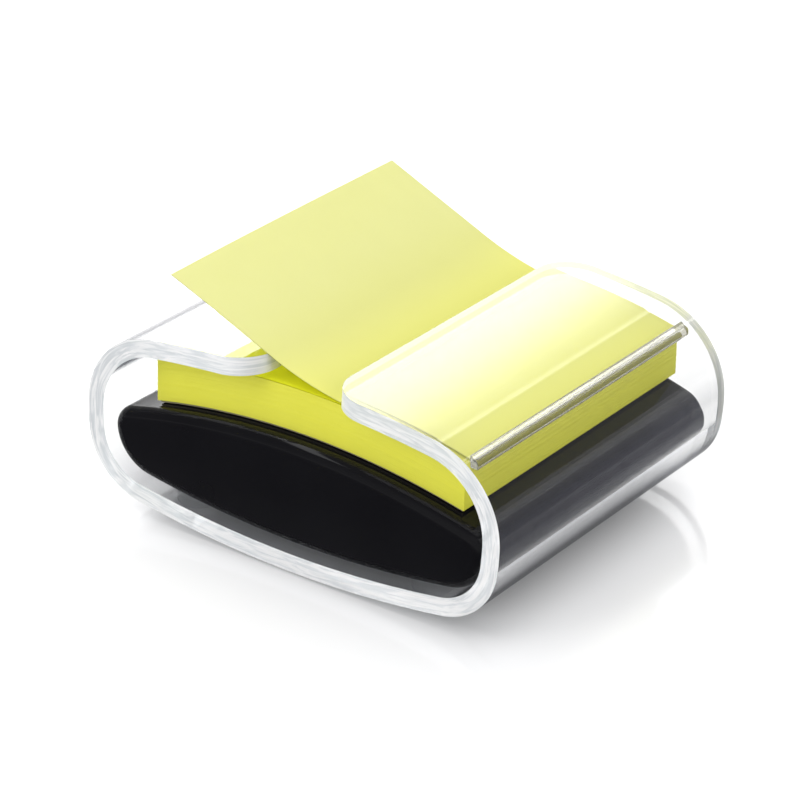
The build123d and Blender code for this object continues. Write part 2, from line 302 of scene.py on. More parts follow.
@dataclass(frozen=True)
class ClearPlastic(Finish):
    """Clear acrylic or gel: refracting, with a faint ripple, and letting lamps through to what it covers.

    Bends can have painted shade, a dark outline where they turn edge-on, and cut edges can be frosted, with
    streaks along them.
    """

    tint: Colour = (0.993, 0.997, 0.997)
    index: float = 1.49
    haze: float = 0.01
    haze_grain: Grain = Grain(160.0, 3.0)
    ripple: Grain = Grain(45.0, 1.0)
    ripple_depth: float = 0.00004
    depth_colour: Colour = (0.2, 0.3, 0.36)
    depth_density: float = 3.0
    bend_shade: Optional[Colour] = None
    bend_facing: Reach = (0.7, 0.85)
    bend_tilt: Reach = (0.04, 0.12)
    frost: float = 0.0
    frost_spread: float = 0.2
    frost_roughness: float = 0.5
    frost_grey: Colour = (0.84, 0.875, 0.9)
    frost_white: Colour = (0.99, 0.99, 0.99)
    streaks: Grain = Grain(1.0, 4.0, 0.55, 1.1)
    streak_scale: Point = (110.0, 1050.0, 1.0)
    streak_reach: Reach = (0.35, 0.65)

    def bend_shade_share(self, bench: NodeBench) -> Signal:
        """Find where the bends turn edge-on, for their painted shade.

        Args:
            bench: adds the nodes.

        Returns:
            One along the outline of a bend.
        """
        facing = bench.signal("ShaderNodeLayerWeight", output="Facing")
        tilt = bench.axis(bench.coordinates("Normal"), "X")
        return facing.eased(*self.bend_facing) * (tilt * tilt).eased(*self.bend_tilt)

    def frosted(self, bench: NodeBench, clear: Signal) -> Signal:
        """Lay a streaky frost over a clear surface.

        Args:
            bench: adds the nodes.
            clear: the clear surface's shader.

        Returns:
            The frosted shader.
        """
        along = bench.signal("ShaderNodeUVMap", {"uv_map": SHEET_MAP})
        drawn = bench.stretched(along, self.streak_scale)
        streaks = bench.noise(drawn, self.streaks).eased(*self.streak_reach)
        milk = bench.blend(streaks, self.frost_grey, self.frost_white)
        share = self.frost * (1 - self.frost_spread / 2 + self.frost_spread * streaks)
        white = bench.surface({"Base Color": milk, "Roughness": self.frost_roughness})
        return bench.mix(share, clear, white)

    def shade(self, bench: NodeBench) -> Signal:
        """Refracting surface, open to shadow and diffuse rays.

        Args:
            bench: adds the nodes.

        Returns:
            The shader.
        """
        where = bench.coordinates()
        inputs = {
            "Base Color": self.tint,
            "Roughness": self.haze * bench.noise(where, self.haze_grain),
            "IOR": self.index,
            "Transmission Weight": 1.0,
            "Normal": bench.bump(bench.noise(where, self.ripple), self.ripple_depth),
        }
        solid = bench.surface(inputs)
        # Painted shade: a dark glass mixed in along the outline of a bend
        if self.bend_shade:
            dark = bench.surface({**inputs, "Base Color": self.bend_shade})
            solid = bench.mix(self.bend_shade_share(bench), solid, dark)
        if self.frost:
            solid = self.frosted(bench, solid)
        through = bench.signal("ShaderNodeBsdfTransparent", None, {"Color": self.tint})
        return bench.mix(bench.ray(Ray.SHADOW, Ray.DIFFUSE), solid, through)

    def fill(self, bench: NodeBench) -> Optional[Signal]:
        """Absorb a little along the way, so that long paths turn grey."""
        inputs = {"Color": self.depth_colour, "Density": self.depth_density}
        return bench.signal("ShaderNodeVolumeAbsorption", None, inputs)


@dataclass(frozen=True)
class BlackPlastic(Finish):
    """Black moulded plastic, from high gloss to plain."""

    colour: Colour = (0.0045, 0.0043, 0.0055)
    worn: Colour = (0.0075, 0.0075, 0.009)
    patches: Grain = Grain(70.0, 4.0)
    roughness: float = 0.05
    roughness_spread: float = 0.05
    specular: float = 0.14
    grain: Grain = Grain(900.0)
    grain_depth: float = 0.000002

    def shade(self, bench: NodeBench) -> Signal:
        """Black with faint patches, roughness that varies and a fine grain.

        Args:
            bench: adds the nodes.

        Returns:
            The shader.
        """
        where = bench.coordinates()
        patches = bench.noise(where, self.patches)
        inputs = {
            "Base Color": bench.blend(patches, self.colour, self.worn),
            "Roughness": self.roughness + self.roughness_spread * patches,
            "Specular IOR Level": self.specular,
            "Normal": bench.bump(bench.noise(where, self.grain), self.grain_depth),
        }
        return bench.surface(inputs)


@dataclass(frozen=True)
class Paper(Finish):
    """Uncoated paper: mottled fibres, a soft sheen and some light through.

    A sheet can turn to a deeper tone from left to right, where a painted sheen in its pale colour fades.
    """

    colour: Colour = (0.87, 0.85, 0.085)
    pale: Colour = (0.9, 0.885, 0.115)
    cloud: Grain = Grain(120.0, 4.0, 0.6)
    cloud_share: float = 0.6
    roughness: float = 0.7
    roughness_spread: float = 0.12
    specular: float = 0.1
    through_share: float = 0.15
    sheen_faded: Optional[Colour] = None
    sheen_fade_reach: Reach = (0.0, 1.0)
    fibres: Grain = Grain(2600.0, 3.0, 0.65)
    fibre_scale: Point = (1.0, 0.45, 1.0)
    fibre_depth: float = 0.000012
    fibre_strength: float = 0.6

    def shade(self, bench: NodeBench) -> Signal:
        """Fibres in colour and relief over a sheet that glows a little from behind.

        Args:
            bench: adds the nodes.

        Returns:
            The shader.
        """
        where = bench.coordinates()
        cloud = bench.noise(where, self.cloud)
        fibres = bench.noise(bench.stretched(where, self.fibre_scale), self.fibres)
        mottle = self.cloud_share * cloud + (1 - self.cloud_share) * fibres
        colour = bench.blend(mottle, self.colour, self.pale)
        # Painted sheen: the pale colour fades to a deeper one from left to right
        if self.sheen_faded:
            across = bench.axis(where, "X")
            colour = bench.blend(across.eased(*self.sheen_fade_reach), colour, self.sheen_faded)
        relief = bench.bump(fibres, self.fibre_depth, self.fibre_strength)
        inputs = {
            "Base Color": colour,
            "Roughness": self.roughness + self.roughness_spread * fibres,
            "Specular IOR Level": self.specular,
            "Normal": relief,
        }
        glow = bench.signal("ShaderNodeBsdfTranslucent", None, {"Color": colour, "Normal": relief})
        return bench.mix(self.through_share, bench.surface(inputs), glow)


@dataclass(frozen=True)
class Fibre(Finish):
    """Board or felt: matt fibres."""

    dark: Colour = (0.03, 0.03, 0.033)
    light: Colour = (0.07, 0.07, 0.075)
    roughness: float = 0.8
    roughness_spread: float = 0.15
    fibres: Grain = Grain(1500.0, 4.0, 0.7)
    fibre_scale: Point = (1.0, 0.3, 1.0)
    fibre_depth: float = 0.00008

    def shade(self, bench: NodeBench) -> Signal:
        """Matt fibres in two tones.

        Args:
            bench: adds the nodes.

        Returns:
            The shader.
        """
        fibres = bench.noise(bench.stretched(bench.coordinates(), self.fibre_scale), self.fibres)
        inputs = {
            "Base Color": bench.blend(fibres, self.dark, self.light),
            "Roughness": self.roughness + self.roughness_spread * fibres,
            "Normal": bench.bump(fibres, self.fibre_depth),
        }
        return bench.surface(inputs)


@dataclass(frozen=True)
class Metal(Finish):
    """Plated steel or cast iron."""

    colour: Colour = (0.55, 0.55, 0.57)
    dull: Colour = (0.42, 0.42, 0.45)
    patches: Grain = Grain(260.0, 4.0, 0.6)
    roughness: float = 0.28
    roughness_spread: float = 0.15
    grain: Grain = Grain(1800.0, 3.0)
    grain_depth: float = 0.000006

    def shade(self, bench: NodeBench) -> Signal:
        """Metal with dull patches and a fine grain.

        Args:
            bench: adds the nodes.

        Returns:
            The shader.
        """
        where = bench.coordinates()
        patches = bench.noise(where, self.patches)
        inputs = {
            "Base Color": bench.blend(patches, self.colour, self.dull),
            "Metallic": 1.0,
            "Roughness": self.roughness + self.roughness_spread * patches,
            "Normal": bench.bump(bench.noise(where, self.grain), self.grain_depth),
        }
        return bench.surface(inputs)


@dataclass(frozen=True)
class PaleFloor(Finish):
    """Glossy pale floor, lifted to white away from the object.

    Close to the object it has painted shade: darker tones in reflections and through the clear plastic, and
    less lift.
    """

    colour: Colour = (0.73, 0.73, 0.74)
    roughness: float = 0.12
    specular: float = 0.3
    left_shade: Colour = (0.45, 0.45, 0.47)
    right_shade: Colour = (0.1, 0.1, 0.14)
    right_shade_reach: Reach = (0.055, 0.072)
    front_shade: Colour = (0.07, 0.07, 0.08)
    front_shade_reach: Reach = (0.02, 0.07)
    under_shade_reach: Reach = (0.045, 0.075)
    lift: float = 0.4
    lift_near: float = 0.2
    lift_reach: Reach = (0.1, 0.42)
    lift_beside: Reach = (0.035, 0.055)
    lift_right: Reach = (0.034, 0.056)
    lift_front: Reach = (0.036, 0.048)

    def tone(self, bench: NodeBench, away: Signal, across: Signal, ahead: Signal) -> Signal:
        """Colour the floor for each kind of light path, with painted shade near the object.

        Args:
            bench: adds the nodes.
            away: distance from the object's middle.
            across: distance to the right of it.
            ahead: distance in front of it.

        Returns:
            The colour.
        """
        # Painted shade: darker floor near the object in reflections, most to the right and in front, and
        # through the plastic under it and to its right
        right = across.eased(*self.right_shade_reach)
        mirrored = bench.blend(right, self.left_shade, self.right_shade)
        mirrored = bench.blend(ahead.eased(*self.front_shade_reach), mirrored, self.front_shade)
        through = bench.blend(away.eased(*self.under_shade_reach), self.left_shade, self.colour)
        through = bench.blend(right, through, self.right_shade)
        tone = bench.blend(bench.ray(Ray.GLOSSY), self.colour, mirrored)
        return bench.blend(bench.ray(Ray.TRANSMISSION), tone, through)

    def glow(self, bench: NodeBench, away: Signal, across: Signal, ahead: Signal) -> Signal:
        """Lift the floor to white far away, and less beside the object, which paints shade round it.

        Args:
            bench: adds the nodes.
            away: distance from the object's middle.
            across: distance to the right of it.
            ahead: distance in front of it.

        Returns:
            The share of the full lift.
        """
        # Painted shade: the lift falls off towards the object and stops just beside it, darkening the floor
        # round it on top of its real shadow
        far = away.eased(*self.lift_reach)
        clear = across.eased(*self.lift_right).larger(ahead.eased(*self.lift_front))
        clear = clear.larger((-across).eased(*self.lift_beside))
        beside = across.eased(*self.lift_beside) * bench.ray(Ray.TRANSMISSION)
        beside = beside.larger(clear * bench.ray(Ray.CAMERA))
        near = self.lift_near / self.lift
        seen = bench.ray(Ray.CAMERA, Ray.GLOSSY, Ray.TRANSMISSION)
        return far * seen + (near - near * far) * beside

    def shade(self, bench: NodeBench) -> Signal:
        """Glossy surface with a glow of its own.

        Args:
            bench: adds the nodes.

        Returns:
            The shader.
        """
        where = bench.coordinates()
        away = bench.signal("ShaderNodeVectorMath", {"operation": "LENGTH"}, {0: where}, "Value")
        spots = (away, bench.axis(where, "X"), -bench.axis(where, "Y"))
        inputs = {
            "Base Color": self.tone(bench, *spots),
            "Roughness": self.roughness,
            "Specular IOR Level": self.specular,
            "Emission Color": bench.blend(self.glow(bench, *spots), BLACK, WHITE),
            "Emission Strength": self.lift,
        }
        return bench.surface(inputs)


# Painted shade: a dark outline on the band where its bends turn edge-on
CLEAR_ACRYLIC = ClearPlastic("clear_acrylic", bend_shade=(0.03, 0.032, 0.037))
ACRYLIC_EDGE = ClearPlastic(
    "acrylic_edge",
    haze=0.34,
    ripple=Grain(320.0, 1.0),
    ripple_depth=0.00006,
    depth_density=1.0,
    frost=0.76,
)
# Painted shade: a dark beige tint that makes the clear bar look shaded
SHADED_ACRYLIC_BAR = ClearPlastic("acrylic_bar", tint=(0.62, 0.6, 0.51), haze=0.16)
CLEAR_RUBBER = ClearPlastic(
    "clear_rubber",
    tint=(0.98, 0.985, 0.985),
    index=1.06,
    haze=0.02,
    depth_density=0.5,
)
BLACK_GLOSS = BlackPlastic("black_gloss")
BLACK_MATT = BlackPlastic(
    "black_matt",
    colour=(0.012, 0.012, 0.013),
    worn=(0.02, 0.02, 0.022),
    roughness=0.5,
    roughness_spread=0.2,
    specular=0.5,
    grain=Grain(2400.0),
    grain_depth=0.00002,
)
NOTE_PAPER = Paper("note_paper")
# Painted light: the next note is brighter and deeper yellow than the pad's paper, standing in for light
# through the standing note and between the sheets
NEXT_PAPER = Paper("next_paper", colour=(0.92, 0.93, 0.025), pale=(0.94, 0.95, 0.04), specular=0.0)
# Painted sheen: the standing note and its tail are paler than the pad's paper, most on the left
LEAF_PAPER = Paper(
    "leaf_paper",
    colour=(0.83, 0.83, 0.37),
    pale=(0.86, 0.86, 0.42),
    through_share=0.3,
    sheen_faded=(0.86, 0.85, 0.2),
    sheen_fade_reach=(-0.022, 0.016),
)
BACKING_CARD = Fibre("backing_card", dark=(0.3, 0.27, 0.16), light=(0.42, 0.38, 0.24), fibre_depth=0.00002)
GLIDE_FELT = Fibre("glide_felt")
SCREW_STEEL = Metal("screw_steel")
BALLAST_IRON = Metal(
    "ballast_iron",
    colour=(0.16, 0.16, 0.17),
    dull=(0.09, 0.085, 0.08),
    roughness=0.6,
    grain_depth=0.0001,
)
STUDIO_FLOOR = PaleFloor("studio_floor")


# Section lines


def bow_radius(half_chord: float, bow: float) -> float:
    """Radius of an arc from half its chord and its bow."""
    return (half_chord**2 + bow**2) / (2 * bow)


def bearing(start: Place, end: Place) -> float:
    """Angle in the section from one point to another."""
    return math.atan2(end[1] - start[1], end[0] - start[0])


def on_circle(centre: Place, radius: float, angle: float) -> Place:
    """Point of a circle in the section at an angle."""
    return (centre[0] + radius * math.cos(angle), centre[1] + radius * math.sin(angle))


def corner_centre(first: Place, first_reach: float, second: Place, second_reach: float) -> Place:
    """Find the right-hand point at two given distances from two centres.

    Args:
        first: the first centre.
        first_reach: distance from it.
        second: the second centre.
        second_reach: distance from it.

    Returns:
        The point.
    """
    between = math.dist(first, second)
    along = (first_reach**2 - second_reach**2 + between**2) / (2 * between)
    turn = math.acos(along / first_reach)
    heading = bearing(first, second)
    return max(on_circle(first, first_reach, angle) for angle in (heading - turn, heading + turn))


@dataclass(frozen=True)
class StraightRun:
    """A straight line in the section."""

    start: Place
    end: Place
    turn: float = 0.0

    @property
    def length(self) -> float:
        """Length of the line."""
        return math.dist(self.start, self.end)

    def at(self, distance: float) -> Place:
        """Point at a distance along the line."""
        share = distance / self.length
        return tuple(a + (b - a) * share for a, b in zip(self.start, self.end))


@dataclass(frozen=True)
class ArcRun:
    """An arc in the section, from a start angle through a turn, both in radians."""

    centre: Place
    radius: float
    start: float
    turn: float

    @property
    def length(self) -> float:
        """Length of the arc."""
        return abs(self.turn) * self.radius

    def at(self, distance: float) -> Place:
        """Point at a distance along the arc."""
        return on_circle(self.centre, self.radius, self.start + self.turn * distance / self.length)

    def locate(self, point: Place) -> Place:
        """Find a point near the arc.

        Args:
            point: the point in the section.

        Returns:
            Its distance along the arc and its depth inside it.
        """
        half = math.pi / abs(self.turn)
        share = ((bearing(self.centre, point) - self.start) / self.turn + half) % (2 * half) - half
        return share * self.length, self.radius - math.dist(self.centre, point)


@dataclass(frozen=True)
class SectionLine:
    """Runs in the section, end to end."""

    runs: Tuple[Union[ArcRun, StraightRun], ...]

    @property
    def length(self) -> float:
        """Length of all the runs."""
        return sum(run.length for run in self.runs)

    def at(self, distance: float) -> Place:
        """Follow the line.

        Args:
            distance: distance from its start.

        Returns:
            The point there.
        """
        for run in self.runs[:-1]:
            if distance <= run.length:
                return run.at(distance)
            distance -= run.length
        return self.runs[-1].at(distance)

    def stations(self, step: float, turn: float) -> List[float]:
        """Divide the line, closely enough for its curves.

        Args:
            step: longest step in metres.
            turn: largest turn in a step, in radians.

        Returns:
            Distances from 0 to the line's length.
        """
        found, passed = [0.0], 0.0
        for run in self.runs:
            count = math.ceil(max(run.length / step, abs(run.turn) / turn))
            found += [passed + run.length * (number + 1) / count for number in range(count)]
            passed += run.length
        return found


# Modelling bench


def start_alone() -> None:
    """Leave edit mode and deselect everything."""
    if bpy.context.object and bpy.context.object.mode != "OBJECT":
        bpy.ops.object.mode_set(mode="OBJECT")
    bpy.ops.object.select_all(action="DESELECT")


def apply_modifier(piece: bpy.types.Object, kind: str, **settings: Union[float, str, bool]) -> None:
    """Add a modifier to a piece and apply it.

    Args:
        piece: the piece.
        kind: the modifier's type.
        settings: the modifier's properties.
    """
    start_alone()
    piece.select_set(True)
    bpy.context.view_layer.objects.active = piece
    modifier = piece.modifiers.new(kind.lower(), kind)
    for name, value in settings.items():
        setattr(modifier, name, value)
    bpy.ops.object.modifier_apply(modifier=modifier.name)


def smooth(piece: bpy.types.Object) -> None:
    """Shade a piece smooth, with normals that follow its large faces."""
    piece.data.shade_smooth()
    apply_modifier(piece, "WEIGHTED_NORMAL", weight=100, keep_sharp=False)


def roll_sheet(
    name: str,
    line: SectionLine,
    stations: Sequence[float],
    ends: Callable[[float], Reach],
    rows: int = 1,
) -> bpy.types.Object:
    """Lay a flat grid along a line in the section.

    Args:
        name: the piece's name.
        line: the line that the sheet follows.
        stations: distances along the line of the grid's columns.
        ends: front and back of the sheet at a distance along the line.
        rows: faces from front to back.

    Returns:
        The open sheet.
    """
    start_alone()
    columns = len(stations) - 1
    bpy.ops.mesh.primitive_grid_add(x_subdivisions=columns, y_subdivisions=rows, size=1)
    sheet = bpy.context.object
    sheet.name = sheet.data.name = name
    for vertex in sheet.data.vertices:
        station = stations[round((vertex.co.x + 0.5) * columns)]
        front, back = ends(station)
        x, z = line.at(station)
        vertex.co = (x, front + (back - front) * (vertex.co.y + 0.5), z)
    return sheet


def settle(piece: bpy.types.Object, body: Body, slot: str, *nodes: str) -> bpy.types.Object:
    """Ride a piece on its body, and hide the nodes that it stands for.

    Args:
        piece: the finished piece.
        body: the body that it moves with.
        slot: the record's material slot; not used.
        nodes: nodes that it replaces.

    Returns:
        The piece.
    """
    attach(piece, body.value)
    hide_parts(*nodes)
    log.info("%s rides on %s", piece.name, body.value)
    return piece


def dress_nodes(finish: Finish, *nodes: str) -> None:
    """Give frame nodes that stay a finish.

    Args:
        finish: the finish.
        nodes: the nodes' names.
    """
    for node in nodes:
        finish.paint(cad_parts[node])
        log.info("%s keeps its shape", node)


# Sub-assemblies


@dataclass
class ClearWrap:
    """The bent acrylic band, its stop bar and its feet."""

    height: float = 0.0431
    wall: float = 0.004
    side_bow: float = 0.0025
    floor_bow: float = 0.005
    roof_bow: float = 0.0049
    lower_corner: float = 0.015
    upper_corner: float = 0.019
    slot_width: float = 0.0184
    lip_corner: float = 0.0084
    lip_corner_steps: int = 14
    step: float = 0.002
    turn: float = math.radians(1.2)
    edge_round: float = 0.0005
    edge_angle: float = math.radians(45)
    edge_steps: int = 4
    bar_trim: float = 0.0004
    bar_edge_round: float = 0.0003
    bond_gap: float = 0.00003

    def __post_init__(self) -> None:
        """Take the band's place from the frame."""
        low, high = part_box("clear_wrap")
        self.half_width = (high.x - low.x) / 2
        self.half_depth = (high.y - low.y) / 2
        self.low = low.z

    def outline(self) -> SectionLine:
        """Draw the outside of the band.

        Returns:
            The outline, clockwise from the right lip to the left lip.
        """
        top = self.low + self.height
        chord = self.half_width - self.side_bow
        floor_radius = bow_radius(chord, self.floor_bow)
        roof_radius = bow_radius(chord, self.roof_bow)
        side_low, side_high = self.low + self.floor_bow, top - self.roof_bow
        side_radius = bow_radius((side_high - side_low) / 2, self.side_bow)
        floor = (0.0, self.low + floor_radius)
        roof = (0.0, top - roof_radius)
        side = (self.half_width - side_radius, (side_low + side_high) / 2)
        lower = corner_centre(floor, floor_radius - self.lower_corner, side, side_radius - self.lower_corner)
        upper = corner_centre(roof, roof_radius - self.upper_corner, side, side_radius - self.upper_corner)
        turns = [
            math.acos(self.slot_width / 2 / roof_radius),
            bearing(roof, upper),
            bearing(side, upper),
            bearing(side, lower),
            bearing(floor, lower),
        ]
        circles = [
            (roof, roof_radius),
            (upper, self.upper_corner),
            (side, side_radius),
            (lower, self.lower_corner),
        ]
        right = [
            ArcRun(centre, radius, start, end - start)
            for (centre, radius), start, end in zip(circles, turns, turns[1:])
        ]
        left = [
            ArcRun((-run.centre[0], run.centre[1]), run.radius, -math.pi - run.start - run.turn, run.turn)
            for run in reversed(right)
        ]
        bottom = ArcRun(floor, floor_radius, turns[-1], -math.pi - 2 * turns[-1])
        return SectionLine((*right, bottom, *left))

    def band_stations(self, line: SectionLine) -> List[float]:
        """Divide the outline, with close steps at the lips' round corners.

        Args:
            line: the outline.

        Returns:
            Distances along it.
        """
        quarter = math.pi / 2 / self.lip_corner_steps
        lip = [self.lip_corner * (1 - math.cos(quarter * number)) for number in range(self.lip_corner_steps)]
        last = line.length - self.lip_corner
        middle = [place for place in line.stations(self.step, self.turn) if self.lip_corner < place < last]
        return [*lip, self.lip_corner, *middle, last, *(line.length - place for place in reversed(lip))]

    def map_band(self, band: bpy.types.Object, line: SectionLine) -> None:
        """Map the band by the distance along its outline and the depth inside it.

        Args:
            band: the band.
            line: its outline.
        """
        uvs = band.data.uv_layers[SHEET_MAP].data
        for loop in band.data.loops:
            point = band.data.vertices[loop.vertex_index].co
            found, passed = [], 0.0
            for run in line.runs:
                along, depth = run.locate((point.x, point.z))
                miss = max(-along, along - run.length, 0.0) + max(-depth, depth - self.wall, 0.0)
                found.append((miss, passed + along, depth))
                passed += run.length
            uvs[loop.index].uv = min(found)[1:]

    def build_band(self) -> bpy.types.Object:
        """Roll a flat sheet with rounded corners round the outline, thicken it and round its edges.

        Returns:
            The band.
        """
        line = self.outline()

        def ends(station: float) -> Reach:
            """Draw the band in at the lips' corners.

            Args:
                station: distance along the outline.

            Returns:
                Front and back of the band there.
            """
            inset = max(self.lip_corner - min(station, line.length - station), 0.0)
            reach = self.half_depth - self.lip_corner + math.sqrt(self.lip_corner**2 - inset**2)
            return (-reach, reach)

        band = roll_sheet("wrap_band", line, self.band_stations(line), ends)
        CLEAR_ACRYLIC.paint(band)
        band.data.materials.append(ACRYLIC_EDGE.material())
        apply_modifier(
            band,
            "SOLIDIFY",
            thickness=self.wall,
            offset=-1,
            use_even_offset=True,
            use_quality_normals=True,
            material_offset_rim=1,
        )
        apply_modifier(
            band,
            "BEVEL",
            width=self.edge_round,
            segments=self.edge_steps,
            limit_method="ANGLE",
            angle_limit=self.edge_angle,
        )
        smooth(band)
        self.map_band(band, line)
        return settle(band, Body.WRAP, CLEAR_ACRYLIC.name, "clear_wrap")

    def build_bar(self) -> bpy.types.Object:
        """Shape a slim bar whose top follows the underside of the right lip, and round its edges.

        Returns:
            The bar.
        """
        low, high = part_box("pad_stop_bar")
        corner = self.outline().runs[1]
        inside = corner.radius - self.wall
        start_alone()
        bpy.ops.mesh.primitive_cube_add(size=1)
        bar = bpy.context.object
        bar.name = bar.data.name = "stop_bar"
        for vertex in bar.data.vertices:
            x = low.x if vertex.co.x < 0 else high.x - self.bar_trim
            y = low.y if vertex.co.y < 0 else high.y
            under = corner.centre[1] + math.sqrt(inside**2 - (x - corner.centre[0]) ** 2) - self.bond_gap
            vertex.co = (x, y, low.z + self.bar_trim if vertex.co.z < 0 else under)
        apply_modifier(bar, "BEVEL", width=self.bar_edge_round, segments=self.edge_steps)
        smooth(bar)
        SHADED_ACRYLIC_BAR.paint(bar)
        return settle(bar, Body.WRAP, CLEAR_ACRYLIC.name, "pad_stop_bar")

    def build(self) -> None:
        """Build the band and the bar, and dress the feet."""
        self.build_band()
        self.build_bar()
        feet = [f"foot_{end}_{side}" for end in ("front", "rear") for side in ("left", "right")]
        dress_nodes(CLEAR_RUBBER, *feet)


@dataclass
class WeightedBase:
    """The gloss black base and what it holds, all at the sizes of the frame."""

    def build(self) -> None:
        """Dress the shell, the plate, the screws, the ballast and the strips."""
        dress_nodes(BLACK_GLOSS, "base_shell")
        dress_nodes(BLACK_MATT, "base_floor_plate")
        dress_nodes(SCREW_STEEL, "cover_screws")
        dress_nodes(BALLAST_IRON, "ballast_block")
        dress_nodes(GLIDE_FELT, "base_glide_strip_left", "base_glide_strip_right")


@dataclass
class NotePad:
    """The arched pad and the note that stands out of it."""

    arch_radius: float = 0.172
    card_gap: float = 0.00025
    card_thickness: float = 0.0005
    card_inset: float = 0.0005
    stack_gap: float = 0.0008
    stack_height: float = 0.0094
    sheet_count: int = 90
    sheet_share: float = 0.97
    sheet_stray: float = 0.00002
    sheet_columns: int = 16
    seed: int = 7
    note_thickness: float = 0.00015
    next_gap: float = 0.01025
    tail_gap: float = 0.01045
    lip_edge: float = 0.0092
    rest_rise: float = 0.00005
    bend_reach: float = 0.0045
    step: float = 0.002
    tail_turn: float = math.radians(0.3)
    leaf_turn: float = math.radians(1.5)
    leaf_reach: float = 0.002
    leaf_seam: float = 0.00002
    draw_reach: float = 0.0006
    leaf_droop: float = 0.0006
    leaf_rows: int = 24

    def __post_init__(self) -> None:
        """Take the pad's place from the frame, and the curve of the note that leans on the left lip."""
        low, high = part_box("note_stack")
        self.left, self.right = low.x, high.x
        self.front, self.back = low.y, high.y
        self.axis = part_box("base_shell")[1].z - self.arch_radius
        reach = self.arch_radius + self.tail_gap + self.note_thickness / 2
        root_x = self.lip_edge + self.bend_reach
        self.root_slope = math.asin(root_x / reach)
        root = (root_x, self.axis + reach * math.cos(self.root_slope))
        rest = (-self.lip_edge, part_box("clear_wrap")[1].z + self.rest_rise)
        chord_slope = math.atan2(rest[1] - root[1], root[0] - rest[0])
        turn = 2 * (chord_slope - self.root_slope)
        self.leaf_slope = self.root_slope + turn
        self.bend_radius = math.dist(root, rest) / (2 * math.sin(turn / 2))
        self.bend = (
            root[0] + self.bend_radius * math.sin(self.root_slope),
            root[1] + self.bend_radius * math.cos(self.root_slope),
        )
        self.leaf_start = math.asin((self.bend[0] - self.lip_edge - self.leaf_reach) / self.bend_radius)

    def whole_depth(self, station: float) -> Reach:
        """Front and back of a sheet that is as deep as the pad all along."""
        return (self.front, self.back)

    def arch(self, radius: float, left: float, right: float) -> SectionLine:
        """Arc over the base's arch between two places in X."""
        start, end = math.acos(left / radius), math.acos(right / radius)
        return SectionLine((ArcRun((0.0, self.axis), radius, start, end - start),))

    def arched_sheet(
        self,
        name: str,
        radius: float,
        thickness: float,
        shift: Place = (0.0, 0.0),
        inset: float = 0.0,
    ) -> bpy.types.Object:
        """Lay a sheet of the pad.

        Args:
            name: the sheet's name.
            radius: radius of its upper face.
            thickness: its thickness.
            shift: how far it strays in X and Y.
            inset: how far its edges lie inside the pad's.

        Returns:
            The closed sheet.
        """
        line = self.arch(radius, self.left + shift[0] + inset, self.right + shift[0] - inset)
        stations = [line.length * number / self.sheet_columns for number in range(self.sheet_columns + 1)]
        ends = (self.front + shift[1] + inset, self.back + shift[1] - inset)
        sheet = roll_sheet(name, line, stations, lambda station: ends)
        apply_modifier(sheet, "SOLIDIFY", thickness=thickness, offset=-1)
        return sheet

    def build_card(self) -> bpy.types.Object:
        """Lay the backing card under the pad.

        Returns:
            The card.
        """
        upper = self.arch_radius + self.card_gap + self.card_thickness
        card = self.arched_sheet("pad_card", upper, self.card_thickness, inset=self.card_inset)
        BACKING_CARD.paint(card)
        return settle(card, Body.PAD, BACKING_CARD.name, "pad_backing_card")

    def build_stack(self) -> bpy.types.Object:
        """Stack the sheets, each a little astray, and join them.

        Returns:
            The stack.
        """
        draw = random.Random(self.seed)
        pitch = self.stack_height / self.sheet_count
        sheets = []
        for number in range(self.sheet_count):
            shift = (draw.gauss(0, self.sheet_stray), draw.gauss(0, self.sheet_stray))
            radius = self.arch_radius + self.stack_gap + pitch * (number + self.sheet_share)
            sheets.append(self.arched_sheet(f"pad_sheet_{number}", radius, pitch * self.sheet_share, shift))
        start_alone()
        for sheet in sheets:
            sheet.select_set(True)
        bpy.context.view_layer.objects.active = sheets[0]
        bpy.ops.object.join()
        stack = sheets[0]
        stack.name = stack.data.name = "pad_sheets"
        NOTE_PAPER.paint(stack)
        return settle(stack, Body.PAD, NOTE_PAPER.name, "note_stack")

    def build_next(self) -> bpy.types.Object:
        """Lay the note that is to follow on top of the stack.

        Returns:
            The next note.
        """
        upper = self.arch_radius + self.next_gap + self.note_thickness
        following = self.arched_sheet("next_sheet", upper, self.note_thickness)
        smooth(following)
        # Painted light: the next note's paper is brighter and deeper yellow than the pad's
        NEXT_PAPER.paint(following)
        return settle(following, Body.PAD, NOTE_PAPER.name, "next_note")

    def build_tail(self) -> bpy.types.Object:
        """Lay the end of the standing note on the pad, up to the seam under the right lip.

        Returns:
            The tail.
        """
        upper = self.arch_radius + self.tail_gap + self.note_thickness
        inner = self.bend_radius - self.note_thickness / 2
        finish = self.leaf_start - self.leaf_seam / self.bend_radius
        bend = ArcRun(self.bend, inner, -math.pi / 2 - finish, finish - self.root_slope)
        root = math.pi / 2 - self.root_slope
        flat = ArcRun((0.0, self.axis), upper, root, math.acos(self.right / upper) - root)
        line = SectionLine((bend, flat))
        tail = roll_sheet("note_tail", line, line.stations(self.step, self.tail_turn), self.whole_depth)
        apply_modifier(tail, "SOLIDIFY", thickness=self.note_thickness, offset=-1)
        smooth(tail)
        LEAF_PAPER.paint(tail)
        seam, height = self.lip_edge + self.leaf_reach, self.axis + upper
        start, end = (seam + self.draw_reach, 0.0, height), (seam, 0.0, height)
        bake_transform(tail)
        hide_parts("popped_note_tail")
        log.info("%s lies on %s and is drawn out by %s", tail.name, Body.PAD.value, Body.NOTE.value)
        return tail

